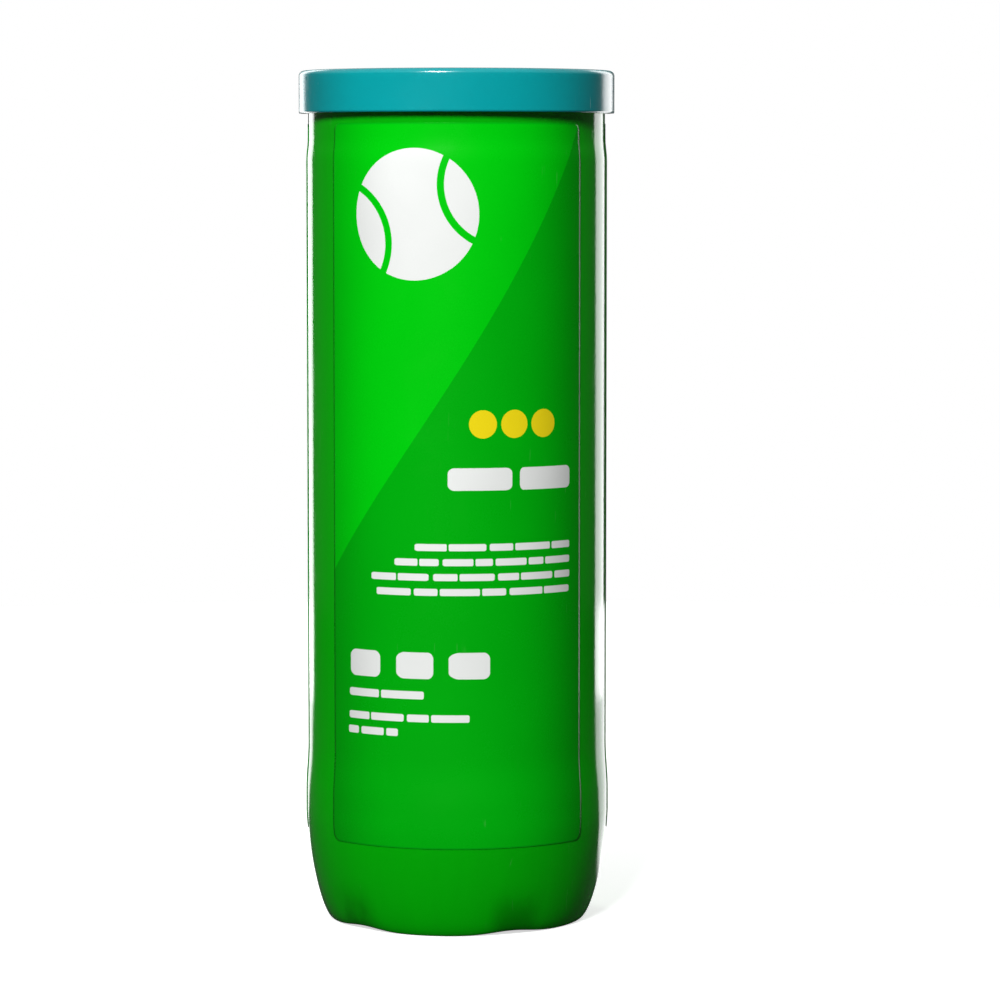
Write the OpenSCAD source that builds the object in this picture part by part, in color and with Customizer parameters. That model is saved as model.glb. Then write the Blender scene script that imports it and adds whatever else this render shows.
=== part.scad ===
// Tennis ball can: a green plastic can with a seamed metal end, a pull tab,
// a press-on lid and three pressurised tennis balls inside.
// Millimetres, +Z up, the can stands on z = 0 and its front faces -Y.

/* [Balls] */
// Diameter over the felt of one ball
ball_d = 66; // [62:0.5:80]
// Thickness of the felt cover
felt_t = 3; // [1.5:0.1:4]
// Wall of the rubber core under the felt
core_t = 3; // [2:0.1:5]
// Width of the rubber seam between the two felt panels
seam_w = 3.2; // [2:0.1:5]
// How far the seam lies below the felt
seam_drop = 0.8; // [0.3:0.1:1.2]
// Free height between one ball and the next
ball_gap = 0.3; // [0.3:0.05:1]
// How the three balls happen to be turned in the can
ball_turns = [[20, 15, 25], [65, 15, 110], [135, 15, 205]];

/* [Plastic body] */
// Wall of the blown body
wall = 0.6; // [0.4:0.05:1]
// Free space between the balls and the wall
side_gap = 3.4; // [2.5:0.1:6]
// How far the lower grip band stands out
band_out = 0.5; // [0.2:0.1:1.2]
// Height at which the heel reaches the grip band
heel_h = 27; // [20:0.5:32]
// Height of the top of the grip band
band_top = 32; // [32:0.5:40]
// Height at which the band has faded into the plain wall
band_fade = 44; // [42:0.5:60]
// How far the neck is drawn in under the metal end
neck_in = 0.4; // [0.2:0.05:1]
// Height of the shoulder between wall and neck
shoulder_h = 5.5; // [3:0.5:9]
// Distance from the shoulder to the top of the seam
neck_h = 15.6; // [12:0.2:22]

/* [Base] */
// Height of the pushed-up centre of the base
dome_h = 3.8; // [2.5:0.1:6]
// Inner radius of the standing ring
ring_in = 25; // [22:0.5:26]
// Outer radius of the standing ring
ring_out = 28.5; // [27:0.5:30]
// Number of feet that the standing ring is divided into
foot_count = 5; // [3:1:7]
// Angle at which the valleys between the feet start
valley_turn = 7; // [0:1:72]
// Depth of the valleys between the feet
valley_depth = 1.6; // [0.8:0.1:2.2]
// Radius of the rounded valley
valley_r = 15; // [9:0.5:18]
// Rise of the valleys towards the heel in degrees
valley_rise = 20; // [10:1:26]

/* [Labels] */
// Half of the angle that the front label covers
front_half = 57; // [40:1:62]
// Half of the angle that the rear label covers
rear_half = 97; // [60:1:105]
// Height of the lower label edge
label_low = 22.3; // [15:0.1:26]
// Distance from the upper label edge down from the top of the seam
label_below = 12.1; // [11:0.1:30]
// Thickness of the label film
label_t = 0.1; // [0.05:0.01:0.2]
// Thickness of the glue under the label
glue_t = 0.04; // [0.02:0.01:0.08]

/* [Metal end] */
// Thickness of the sheet
end_t = 0.28; // [0.2:0.01:0.32]
// Height of the double seam
seam_h = 3.1; // [2.8:0.05:3.6]
// Depth of the panel below the top of the seam
end_depth = 5.1; // [4.6:0.1:8]
// Depth of the countersink below the panel
sink_depth = 1.4; // [1:0.1:2]
// Free play between the layers of the seam
seam_play = 0.03; // [0.02:0.005:0.04]
// Width of the cut along the score
score_gap = 0.05; // [0.02:0.01:0.09]
// Free height between the top ball and the panel
head_gap = 0.7; // [0.4:0.1:3]
// Height of the stiffening bead in the panel
bead_h = 0.3; // [0.1:0.05:0.35]
// Depth of the finger dish under the ring of the tab
dish_h = 0.9; // [0.5:0.1:1.4]

/* [Pull tab] */
// Length from the nose to the end of the finger ring
tab_l = 25; // [22:0.5:28]
// Width of the tab
tab_w = 15; // [14:0.5:17]
// Height of the curled edge
tab_t = 1.6; // [1.2:0.1:1.8]
// Width of the curled edge
curl_w = 1.7; // [1.2:0.1:2]
// Thickness of the flat web
web_t = 0.5; // [0.3:0.05:0.7]
// Diameter of the finger hole
finger_d = 9.6; // [8:0.2:11]
// Radius of the rivet stem
rivet_r = 1.9; // [1.5:0.1:2.2]
// Free play around the tongue and the rivet
tab_play = 0.15; // [0.1:0.01:0.2]

/* [Lid] */
// Wall of the press-on lid
lid_t = 0.85; // [0.6:0.05:1.1]
// Height of the lid skirt
lid_h = 10.4; // [8:0.1:14]
// Rounding of the upper outer edge
lid_round = 1.3; // [1:0.1:2]
// Depth of the recess in the top
lid_recess = 1.5; // [1:0.1:2]
// Radial play between the skirt and the seam
lid_play = 0.2; // [0.1:0.05:0.5]
// Radial play between the lid bead and the seam
bead_play = 0.05; // [0.02:0.01:0.1]

/* [Hidden] */
$fn = 128;
ball_r = ball_d / 2;
body_r = ball_r + side_gap + wall;
band_r = body_r + band_out;
neck_r = body_r - neck_in;
floor_z = dome_h + wall;
panel_z = floor_z + 3 * (ball_d + ball_gap) + head_gap;
seam_top = panel_z + end_depth;
seam_low = seam_top - seam_h;
shoulder_z = seam_top - neck_h - shoulder_h;
heel_w = band_r - ring_out;

// layers of the double seam, from the inside out
chuck_r = neck_r - wall - 0.02;
cover_r = neck_r + seam_play + end_t;
hook_r = cover_r + seam_play;
seam_in = hook_r + wall + seam_play;
seam_r = seam_in + end_t;
flange_z = seam_top - end_t - 0.42;

panel_r = body_r - 3.4;
lip_r = panel_r + score_gap;
panel_top = panel_z + end_t;
sink_z = panel_z - sink_depth;

nose_r = panel_r - 0.6;
tab_z = panel_top + 0.47;
rivet_y = nose_r - 7.3;
tongue_l = 8.4;
tongue_w = 9;
tongue_t = 0.6;
finger_y = nose_r - tab_l + curl_w + 0.6 + finger_d / 2;

lid_in = seam_r + lid_play;
lid_r = lid_in + lid_t;
lid_top = seam_top + 0.05 + lid_t;
plug_r = chuck_r - end_t - lid_t - 0.55;

core_r = ball_r - felt_t;
seam_at = ball_r / sqrt(2);
seam_fit = 0.03;

function unit(v) = v / norm(v);
function left_of(a, b) = let (d = unit(b - a)) [-d.y, d.x];

// the same path moved to its left by t, with mitred corners
function shifted(p, t) = [for (i = [0 : len(p) - 1])
    let (n1 = left_of(p[i > 0 ? i - 1 : 0], p[i > 0 ? i : 1]),
         n2 = i < len(p) - 1 ? left_of(p[i], p[i + 1]) : n1)
    p[i] + t * (n1 + n2) / (1 + n1 * n2)];

function backwards(p) = [for (i = [len(p) - 1 : -1 : 0]) p[i]];
function sheet(p, t) = concat(p, backwards(shifted(p, t)));
function arc(c, r, a0, a1, n) =
    [for (i = [0 : n]) let (a = a0 + (a1 - a0) * i / n) c + r * [cos(a), sin(a)]];
function pill(w, y0, y1) =
    concat(arc([0, y1 - w / 2], w / 2, 0, 180, 24), arc([0, y0 + w / 2], w / 2, 180, 360, 24));

// underside of the base and the heel up to the grip band
base_path = concat(
    [[0, dome_h], [4, dome_h]],
    [for (i = [1 : 7]) [4 + (ring_in - 4) * i / 7, dome_h * (1 - pow(i / 7, 3))]],
    [for (a = [0 : 7.5 : 90]) [ring_out + heel_w * sin(a), heel_h * (1 - cos(a))]]);

// radius of the outer wall over its height, above the heel
wall_table = [[heel_h, band_r], [band_top, band_r],
    [band_top + (band_fade - band_top) * 0.3, band_r - band_out * 0.15],
    [band_top + (band_fade - band_top) * 0.7, band_r - band_out * 0.85],
    [band_fade, body_r], [shoulder_z, body_r],
    [shoulder_z + shoulder_h * 0.3, body_r - neck_in * 0.15],
    [shoulder_z + shoulder_h * 0.7, body_r - neck_in * 0.85],
    [shoulder_z + shoulder_h, neck_r], [seam_top, neck_r]];

body_path = concat(base_path,
    [for (i = [1 : 8]) [wall_table[i][1], wall_table[i][0]]],
    [[neck_r, flange_z - wall], [hook_r, flange_z - wall], [hook_r, seam_low + end_t + 0.3]]);

function outer_r(z) = z < heel_h
    ? ring_out + heel_w * sin(acos(1 - z / heel_h))
    : lookup(z, wall_table);

module valleys(grow) {
    for (i = [0 : foot_count - 1])
        rotate([0, 0, valley_turn + 360 / foot_count * i])
            translate([26, 0, valley_depth - valley_r / cos(valley_rise)])
                rotate([0, 90 - valley_rise, 0])
                    translate([0, 0, -9]) cylinder(r = valley_r + grow, h = 26);
}

module can_body() color("limegreen") {
    difference() {
        rotate_extrude() polygon(sheet(body_path, wall));
        valleys(0);
    }
    intersection() {
        difference() { valleys(wall); valleys(0); }
        rotate_extrude() polygon(concat(base_path, [[0, heel_h]]));
    }
}

module label(half, middle) {
    z_top = seam_top - label_below;
    low = [for (z = [label_low : 1 : heel_h - 0.5]) [outer_r(z), z]];
    high = [for (row = wall_table) if (row[0] < z_top) [row[1], row[0]]];
    path = concat(low, high, [[outer_r(z_top), z_top]]);
    rotate([0, 0, middle - half])
        rotate_extrude(angle = 2 * half)
            polygon(sheet(shifted(path, -glue_t), -label_t));
}

module front_label() color("lime") label(front_half, -90);
module rear_label() color("green") label(rear_half, 90);

module end_ring() color("silver") {
    z = seam_top - end_t;
    path = [[lip_r, panel_z], [lip_r + 0.3, panel_z], [lip_r + 0.5, panel_z - 0.2],
        [lip_r + 0.55, sink_z + 0.35], [lip_r + 0.85, sink_z], [chuck_r - 0.5, sink_z],
        [chuck_r - 0.1, sink_z + 0.4], [chuck_r, sink_z + 1.4],
        [chuck_r, z - 0.4], [chuck_r + 0.12, z - 0.12], [chuck_r + 0.4, z],
        [seam_in - 0.4, z], [seam_in - 0.12, z - 0.12], [seam_in, z - 0.4],
        [seam_in, seam_low + end_t], [cover_r, seam_low + end_t],
        [cover_r, flange_z - wall - 0.25]];
    rotate_extrude() polygon(sheet(path, end_t));
}

module seam_compound() color("dimgray")
    rotate_extrude()
        translate([chuck_r + 0.42, flange_z + 0.02])
            square([seam_in - chuck_r - 0.84, 0.38]);

module end_panel() color("gainsboro") {
    b = panel_r - 2.2;
    path = [[0, panel_z], [b - 1, panel_z], [b - 0.6, panel_z + bead_h],
        [b + 0.6, panel_z + bead_h], [b + 1, panel_z], [panel_r, panel_z]];
    dish_w = 6.2;
    dish_r = (dish_w * dish_w + dish_h * dish_h) / (2 * dish_h);
    rotate([0, 0, 180]) {
        difference() {
            rotate_extrude() polygon(sheet(path, end_t));
            translate([0, finger_y - 1, panel_top - dish_h + dish_r]) sphere(r = dish_r);
        }
        difference() {
            translate([0, finger_y - 1, panel_top - dish_h + dish_r]) sphere(r = dish_r + end_t);
            translate([0, finger_y - 1, panel_top - dish_h + dish_r]) sphere(r = dish_r);
            translate([0, finger_y - 1, panel_z + end_t / 2])
                cylinder(r = 2 * dish_r, h = 3 * dish_r);
        }
        translate([0, rivet_y, panel_z + end_t / 2]) cylinder(r = rivet_r, h = tongue_t + 0.7);
        translate([0, rivet_y, panel_top + tongue_t + 0.06])
            cylinder(r1 = rivet_r + 1.1, r2 = rivet_r + 0.6, h = 0.5);
    }
}

module tab_tongue() color("silver")
    rotate([0, 0, 180])
        difference() {
            translate([-tongue_w / 2, rivet_y - tongue_l / 2, panel_top + 0.03])
                cube([tongue_w, tongue_l, tongue_t]);
            translate([0, rivet_y, panel_z]) cylinder(r = rivet_r + 0.05, h = 3);
        }

module pull_tab() color("silver") {
    y0 = nose_r - tab_l;
    rotate([0, 0, 180]) translate([0, 0, tab_z])
        difference() {
            union() {
                difference() {
                    union() {
                        linear_extrude(height = tab_t) polygon(pill(tab_w - 0.7, y0 + 0.35, nose_r - 0.35));
                        translate([0, 0, 0.35])
                            linear_extrude(height = tab_t - 0.7) polygon(pill(tab_w, y0, nose_r));
                    }
                    translate([0, 0, -1]) linear_extrude(height = tab_t + 2)
                        polygon(pill(tab_w - 2 * curl_w, y0 + curl_w, nose_r - curl_w));
                }
                translate([0, 0, tab_t / 2 - web_t / 2])
                    linear_extrude(height = web_t)
                        polygon(pill(tab_w - curl_w, y0 + curl_w / 2, nose_r - curl_w / 2));
                translate([0, finger_y, 0.3]) cylinder(d = finger_d + 2, h = tab_t - 0.6);
            }
            translate([0, finger_y, -1]) cylinder(d = finger_d, h = tab_t + 2);
            translate([-tongue_w / 2 - tab_play, rivet_y - tongue_l / 2 - tab_play, -1])
                cube([tongue_w + 2 * tab_play, tongue_l + 2 * tab_play, tab_t + 2]);
        }
}

module lid() color("darkturquoise") {
    z = lid_top - lid_recess;
    path = concat([[lid_r, lid_top - lid_h]],
        arc([lid_r - lid_round, lid_top - lid_round], lid_round, 0, 90, 6),
        [[plug_r + 0.9, lid_top], [plug_r, lid_top - 0.9], [plug_r, z + 0.5],
         [plug_r - 0.5, z], [0, z]]);
    rotate_extrude() polygon(sheet(path, lid_t));
    rotate_extrude()
        polygon([[lid_in + 0.2, seam_low - 1.8], [seam_r + bead_play, seam_low - 1.1],
                 [seam_r + bead_play, seam_low - 0.7], [lid_in + 0.2, seam_low]]);
}

module ball_place(i)
    translate([0, 0, floor_z + ball_gap + ball_r + i * (ball_d + ball_gap)])
        rotate(ball_turns[i]) children();

module core_half(i, side) color("darkolivegreen")
    ball_place(i) rotate([side * 180, 0, 0])
        difference() {
            sphere(r = core_r - 0.03);
            sphere(r = core_r - core_t);
            translate([0, 0, 0.02 - ball_d]) cylinder(r = ball_d, h = ball_d);
        }

// one of the two dumbbell panels that interlock around the core: a waist over
// the top and a lobe, turned about the X axis, at each end
module felt(i, side) color("greenyellow")
    ball_place(i) rotate([side * 180, 0, side * 90]) {
        waist = seam_at - seam_w / 2;
        lobe = seam_at + seam_w / 2;
        intersection() {
            rotate([0, 90, 0]) difference() { sphere(r = ball_r); sphere(r = core_r); }
            translate([-ball_d, -waist, 0]) cube([2 * ball_d, 2 * waist, ball_d]);
            translate([-lobe, -ball_d, -1]) cube([2 * lobe, 2 * ball_d, ball_d]);
        }
        for (a = [0, 180]) rotate([0, 0, a])
            intersection() {
                rotate([0, 90, 0]) rotate_extrude() intersection() {
                    difference() { circle(r = ball_r); circle(r = core_r); }
                    translate([0, lobe]) square(ball_d);
                }
                translate([lobe, -ball_d, -ball_d]) cube([ball_d, 2 * ball_d, 2 * ball_d]);
            }
    }

module seam(i) color("ivory")
    ball_place(i)
        intersection() {
            difference() { sphere(r = ball_r - seam_drop); sphere(r = core_r); }
            union() {
                for (a = [0, 180]) rotate([0, 0, a]) {
                    translate([-ball_d, seam_at - seam_w / 2 + seam_fit, 0])
                        cube([2 * ball_d, seam_w - 2 * seam_fit, ball_d]);
                    translate([seam_at - seam_w / 2 + seam_fit, -ball_d, -ball_d])
                        cube([seam_w - 2 * seam_fit, 2 * ball_d, ball_d]);
                }
            }
        }

module ball_lower_core_a() core_half(0, 0);
module ball_lower_core_b() core_half(0, 1);
module ball_lower_felt_a() felt(0, 0);
module ball_lower_felt_b() felt(0, 1);
module ball_lower_seam() seam(0);
module ball_middle_core_a() core_half(1, 0);
module ball_middle_core_b() core_half(1, 1);
module ball_middle_felt_a() felt(1, 0);
module ball_middle_felt_b() felt(1, 1);
module ball_middle_seam() seam(1);
module ball_upper_core_a() core_half(2, 0);
module ball_upper_core_b() core_half(2, 1);
module ball_upper_felt_a() felt(2, 0);
module ball_upper_felt_b() felt(2, 1);
module ball_upper_seam() seam(2);

can_body();
front_label();
rear_label();
end_ring();
seam_compound();
ball_lower_core_a();
ball_lower_core_b();
ball_lower_felt_a();
ball_lower_felt_b();
ball_lower_seam();
ball_middle_core_a();
ball_middle_core_b();
ball_middle_felt_a();
ball_middle_felt_b();
ball_middle_seam();
ball_upper_core_a();
ball_upper_core_b();
ball_upper_felt_a();
ball_upper_felt_b();
ball_upper_seam();
end_panel();
tab_tongue();
pull_tab();
lid();
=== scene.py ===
"""Looks of the tennis ball can, laid out as an add-on and run as a script."""

import math
from functools import reduce

import bpy
import numpy as np
from bpy.props import FloatProperty, FloatVectorProperty, IntProperty, PointerProperty
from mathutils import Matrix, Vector
from mathutils.geometry import tessellate_polygon


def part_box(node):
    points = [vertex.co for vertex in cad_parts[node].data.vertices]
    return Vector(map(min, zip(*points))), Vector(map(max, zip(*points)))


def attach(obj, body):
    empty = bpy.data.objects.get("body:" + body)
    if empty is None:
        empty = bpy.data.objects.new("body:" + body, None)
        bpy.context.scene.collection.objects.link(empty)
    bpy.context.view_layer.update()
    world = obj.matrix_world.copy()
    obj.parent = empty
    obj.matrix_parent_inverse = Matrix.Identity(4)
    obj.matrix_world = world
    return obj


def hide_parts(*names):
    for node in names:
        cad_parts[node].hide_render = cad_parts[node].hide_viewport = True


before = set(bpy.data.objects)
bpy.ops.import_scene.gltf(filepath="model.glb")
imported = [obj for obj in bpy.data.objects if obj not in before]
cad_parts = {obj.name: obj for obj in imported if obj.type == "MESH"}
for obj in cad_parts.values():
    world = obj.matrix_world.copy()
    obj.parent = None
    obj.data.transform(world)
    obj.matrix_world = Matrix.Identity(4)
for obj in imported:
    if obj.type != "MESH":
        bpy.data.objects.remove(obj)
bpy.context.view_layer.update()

bl_info = {
    "name": "Tennis ball can",
    "version": (1, 0, 0),
    "blender": (4, 5, 0),
    "location": "View3D > Sidebar > Ball can",
    "description": "Builds the green ball can with its label, metal end, tab, lid and balls",
    "category": "Add Mesh",
}

MM = 0.001
BALLS = ("lower", "middle", "upper")


def box_mm(node):
    """The lowest and highest corner of a CAD node in millimetres."""
    return [[c / MM for c in corner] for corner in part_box(node)]


BODY_HIGH = box_mm("can_body")[1]
PANEL_HIGH = box_mm("end_panel")[1]
LID_LOW, LID_HIGH = box_mm("lid")
RING_LOW, RING_HIGH = box_mm("end_ring")
TAB_LOW, TAB_HIGH = box_mm("pull_tab")
TONGUE_LOW, TONGUE_HIGH = box_mm("tab_tongue")
LABEL_LOW, LABEL_HIGH = box_mm("front_label")

# heights, radii and runs in millimetres
FLANGE = BODY_HIGH[2]  # top of the plastic flange
SEAM_TOP = RING_HIGH[2]  # top of the double seam
SEAM_HEIGHT = 3.1
SEAM_FOOT = SEAM_TOP - SEAM_HEIGHT
SHOULDER, SHOULDER_RUN = SEAM_TOP - 21.1, 5.5  # where the wall starts to draw in, and how far
BAND_TOP, BAND_RUN = 32.0, 12.0  # where the grip band ends, and its run into the wall
VALLEYS = np.radians([7 + 72 * k for k in range(5)])  # directions of the valleys between the feet
LABEL_BASE, LABEL_TOP = LABEL_LOW[2], LABEL_HIGH[2]
LABEL_RADIUS, LABEL_CORNER, GLUE = 37.15, 2.0, 0.04
PANEL_DROP = 5.1  # from the seam's top down to the tear-off panel
RIVET_Y = 25.7  # from the axis to the rivet
CORE_GAP = 0.02  # between a ball's core and its felt

# size in millimetres that the square of the films' UV map stands for
FILM_WIDTH, FILM_HEIGHT = 160.0, 220.0

# half the width over which a printed edge fades
INK_EDGE = 0.07

# bars are broken into words whose length swings slowly; a gap is a share of half a bar's weight
WORD_RATE, WORD_SWING, WORD_GAP = 0.43, 1.1, 0.42

# left, right, height and weight in millimetres, and words, of the bars that stand for print
FRONT_BARS = [
    (-10.6, 30.6, 95.4, 1.7, 5), (-15.8, 30.6, 91.8, 1.7, 7), (-22.2, 30.6, 88.2, 1.7, 7),
    (-20.4, 30.6, 84.6, 1.7, 6), (-29.2, -8.1, 59.6, 1.9, 2), (-29.2, 3.0, 54.0, 1.8, 4),
    (-29.2, -14.7, 50.4, 1.8, 3), (-29.2, 8.0, 66.8, 6.4, 3), (-3.0, 30.6, 111.8, 5.4, 2),
]
REAR_BARS = [
    *[(-42.0, 20.0 - 6.0 * (k % 3), 170.0 - 4.4 * k, 1.5, 6 + k % 3) for k in range(12)],
    (-42.0, 12.0, 178.0, 4.2, 3), (-8.0, 42.0, 92.0, 4.2, 3), (2.0, 42.0, 85.6, 1.5, 5),
    (-4.0, 42.0, 81.4, 1.5, 6), (10.0, 42.0, 77.2, 1.5, 4),
]

# name, place in metres, height aimed at on the axis, width and height in metres, watts
LAMPS = (
    ("key_box", (-0.30, -1.15, 0.85), 0.11, (0.30, 0.40), 21.5),
    ("top_box", (0.0, 0.10, 1.25), 0.10, (1.1, 1.1), 0.6),
    ("rim_card_left", (-0.20, 0.350, 0.22), 0.17, (0.12, 0.44), 0.60),
    ("rim_card_right", (0.255, 0.320, 0.22), 0.17, (0.17, 0.44), 0.80),
)
CAMERA_PLACE, CAMERA_AIM = (0.0, -1.032, 0.187), (0.0107, 0.0, 0.1039)
SENSOR, ZOOM = 36.0, 4.165  # sensor width in millimetres, and the lens as a multiple of it


# ---------------------------------------------------------------- settings


def length(name, description, millimetres):
    """A length property whose default is given in millimetres."""
    return FloatProperty(
        name=name, description=description, default=millimetres * MM, min=0.0,
        precision=5, unit="LENGTH", subtype="DISTANCE",
    )


def colour(name, description, rgb):
    """A linear colour property."""
    return FloatVectorProperty(
        name=name, description=description, default=rgb, size=3, min=0.0, max=1.0,
        subtype="COLOR",
    )


class CanSizes(bpy.types.PropertyGroup):
    """Sizes of the can, its end, its tab and its lid."""

    body_radius: length("Body radius", "Radius of the plain wall", 37.0)
    band_radius: length("Band radius", "Radius of the grip band", BODY_HIGH[0])
    neck_radius: length("Neck radius", "Radius of the neck under the end", 36.6)
    wall: length("Wall", "Thickness of the blown body", 0.6)
    heel_height: length("Heel height", "Height at which the heel meets the band", 27.0)
    dome_height: length("Dome height", "Height of the pushed-up centre of the base", 3.8)
    ring_inner: length("Ring inner radius", "Inner radius of the standing ring", 25.0)
    ring_outer: length("Ring outer radius", "Outer radius of the standing ring", 31.3)
    valley_depth: length("Valley depth", "Depth of the valleys between the feet", 0.9)
    label_thickness: length("Label thickness", "Thickness of the printed film", 0.1)
    sheet: length("End sheet", "Thickness of the metal of the end", 0.28)
    lid_wall: length("Lid wall", "Thickness of the press-on lid", 0.85)
    lid_radius: length("Lid radius", "Outer radius of the lid", LID_HIGH[0])
    tab_width: length("Tab width", "Width of the pull tab", TAB_HIGH[0] - TAB_LOW[0])
    tab_length: length("Tab length", "Length of the pull tab", TAB_HIGH[1] - TAB_LOW[1])


class BallSizes(bpy.types.PropertyGroup):
    """Sizes of the tennis balls."""

    radius: length("Ball radius", "Radius over the felt", 33.0)
    core_radius: length("Core radius", "Radius of the rubber core", 30.0)
    seam_width: length("Seam width", "Width of the rubber seam", 3.2)
    seam_drop: length("Seam drop", "Depth of the seam below the felt", 0.8)
    gap: length("Ball gap", "Free height between two balls", 0.3)
    dot_radius: length("Dot radius", "Radius of the printed dot", 13.0)
    hair_count: IntProperty(
        name="Hairs", description="Loose wool hairs on one felt panel", default=7000,
        min=0, max=12000,
    )
    hair_length: length("Hair length", "Length of a loose wool hair", 2.2)
    hair_width: length("Hair width", "Width of a hair at its root", 0.09)


class CanColours(bpy.types.PropertyGroup):
    """Linear colours of the can."""

    body: colour("Body", "Tint of the blown plastic", (0.001, 0.47, 0.002))
    label_light: colour("Label light", "Lighter green of the print", (0.0, 0.60, 0.004))
    label_dark: colour("Label dark", "Darker green of the print", (0.0, 0.415, 0.004))
    print_white: colour("Print white", "White ink", (0.86, 0.88, 0.86))
    print_yellow: colour("Print yellow", "Yellow ink", (0.90, 0.72, 0.01))
    lid: colour("Lid", "Teal of the lid", (0.0, 0.35, 0.38))
    felt: colour("Felt", "Optic yellow wool", (0.48, 0.69, 0.065))
    # painted shade of the wool between the tufts
    felt_crevice_shade: colour("Felt crevice shade", "Wool between the tufts", (0.33, 0.50, 0.03))
    dot: colour("Dot", "Green dot on the felt", (0.002, 0.13, 0.012))
    seam: colour("Seam", "Rubber of the seam", (0.80, 0.82, 0.72))
    metal: colour("Metal", "Lacquered end sheet", (0.78, 0.79, 0.80))


# ---------------------------------------------------------------- meshes


def make_object(name, points, faces, uv=None, smooth=True):
    """A mesh object at the origin from points in millimetres; uv is one pair per point."""
    mesh = bpy.data.meshes.new(name)
    mesh.from_pydata((np.asarray(points, float) * MM).tolist(), [], faces)
    mesh.validate(clean_customdata=False)
    if smooth:
        mesh.polygons.foreach_set("use_smooth", [True] * len(mesh.polygons))
    if uv is not None:
        layer = mesh.uv_layers.new(name="film")
        index = np.empty(len(mesh.loops), int)
        mesh.loops.foreach_get("vertex_index", index)
        layer.data.foreach_set("uv", np.asarray(uv, float)[index].ravel())
    mesh.update()
    piece = bpy.data.objects.new(name, mesh)
    bpy.context.scene.collection.objects.link(piece)
    return piece


def grid_faces(rows, columns, wrap_rows=False, wrap_columns=False, start=0, flip=False):
    """Quads between neighbouring rows and columns of a grid of points."""
    i = np.arange(rows if wrap_rows else rows - 1)[:, None]
    j = np.arange(columns if wrap_columns else columns - 1)[None, :]
    i2, j2 = (i + 1) % rows, (j + 1) % columns
    corners = [i * columns + j, i * columns + j2, i2 * columns + j2, i2 * columns + j]
    if flip:
        corners.reverse()
    quads = np.stack(np.broadcast_arrays(*corners), axis=-1).reshape(-1, 4) + start
    return quads.tolist()


def fan_faces(ring, pole, flip=False):
    """Triangles from a closed ring of point numbers to one pole point."""
    ring = np.asarray(ring)
    after = np.roll(ring, -1)
    pole = np.full_like(ring, pole)
    return np.stack([after, ring, pole] if flip else [ring, after, pole], axis=-1).tolist()


def turned(profile, segments, lift=None, closed=True):
    """Points and faces of a profile (r, z) turned about Z: P = (r cos a, r sin a, z + lift).

    The profile runs with the material on its left. A closed profile is a loop; an open one
    starts and ends on the axis, where its two end points become poles.
    """
    profile = np.asarray(profile, float)
    angle = np.linspace(0, 2 * np.pi, segments, endpoint=False)
    r, z = profile[:, 0][:, None], profile[:, 1][:, None]
    x, y = r * np.cos(angle), r * np.sin(angle)
    z = np.broadcast_to(z, x.shape)
    if lift is not None:
        z = lift(r, angle[None, :], z)
    points = np.stack([x, y, z], axis=-1)
    n = len(profile)
    if closed:
        return points.reshape(-1, 3), grid_faces(n, segments, True, True, flip=True)
    middle = points[1:-1].reshape(-1, 3)
    poles = np.array([points[0].mean(0), points[-1].mean(0)])
    faces = grid_faces(n - 2, segments, False, True, flip=True)
    first = np.arange(segments)
    last = first + (n - 3) * segments
    faces += fan_faces(first, len(middle)) + fan_faces(last, len(middle) + 1, flip=True)
    return np.vstack([middle, poles]), faces


def rounded(corners, radii, steps=6):
    """A polyline whose corner i is replaced by an arc of radius radii[i] (0 keeps it sharp)."""
    straight = 1.56  # a half angle above this is no corner
    share = 0.49  # of a side that one arc may use up
    corners = np.asarray(corners, float)
    out = [corners[:1]]
    for i in range(1, len(corners) - 1):
        p, a, b = corners[i], corners[i - 1] - corners[i], corners[i + 1] - corners[i]
        la, lb = np.linalg.norm(a), np.linalg.norm(b)
        a, b = a / la, b / lb
        half = math.acos(float(np.clip(a @ b, -1, 1))) / 2
        if radii[i] <= 0 or half > straight:
            out.append(p[None])
            continue
        cut = min(radii[i] / math.tan(half), share * la, share * lb)
        r = cut * math.tan(half)
        middle = p + (a + b) / np.linalg.norm(a + b) * (r / math.sin(half))
        start, end = p + a * cut - middle, p + b * cut - middle
        t = np.linspace(0, 1, steps + 1)[:, None]
        span = math.pi - 2 * half
        arc = (start * np.sin((1 - t) * span) + end * np.sin(t * span)) / math.sin(span)
        out.append(middle + arc)
    out.append(corners[-1:])
    return np.vstack(out)


def normals_left(path):
    """Unit normals on the left of a polyline, averaged and lengthened at its corners."""
    step = np.diff(path, axis=0)
    step /= np.linalg.norm(step, axis=1)[:, None]
    left = np.stack([-step[:, 1], step[:, 0]], axis=-1)
    before, after = np.vstack([left[:1], left]), np.vstack([left, left[-1:]])
    return (before + after) / (1 + np.sum(before * after, axis=1))[:, None]


def sheet_loop(path, thickness):
    """A closed loop round a sheet: the path, then the path moved left by its thickness."""
    return np.vstack([path, (path + normals_left(path) * thickness)[::-1]])


def densify(path, step):
    """The same polyline with points no further than step apart."""
    out = []
    for a, b in zip(path[:-1], path[1:], strict=True):
        n = max(1, int(math.ceil(np.linalg.norm(b - a) / step)))
        out.append(a + (b - a) * (np.arange(n) / n)[:, None])
    return np.vstack(out + [path[-1:]])


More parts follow.
